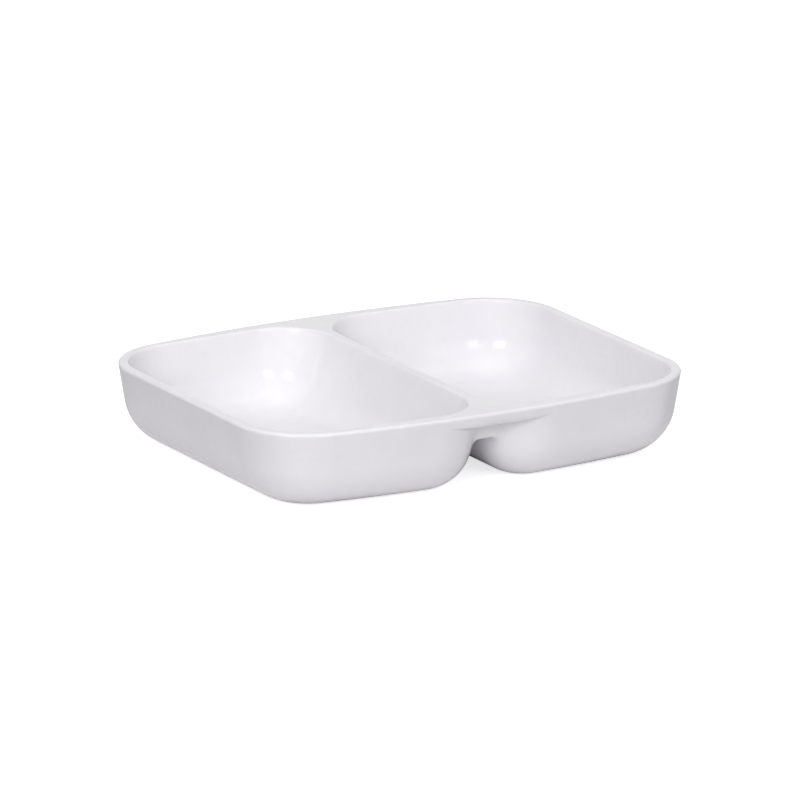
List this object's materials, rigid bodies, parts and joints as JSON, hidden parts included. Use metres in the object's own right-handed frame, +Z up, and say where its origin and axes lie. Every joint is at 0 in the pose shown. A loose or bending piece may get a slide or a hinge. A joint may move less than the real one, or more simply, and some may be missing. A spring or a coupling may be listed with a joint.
{
  "type": "divided dipping dish",
  "caption": "Shallow divided dipping dish: rounded compartments side by side, moulded as a single glossy shell with a continuous rim and an open channel beneath the divider.",
  "frame": {"origin": "on the table, under the middle of the dish: bottom centre of the bounding box", "axes": "+X along the dish's length, from one compartment to the other; +Y across it, along the divider; +Z up"},
  "size_m": [0.15, 0.124, 0.0255],
  "materials": {
    "melamine": "glossy moulded melamine, off-white"
  },
  "bodies": {
    "root": {"dish": "melamine"}
  },
  "joints": []
}
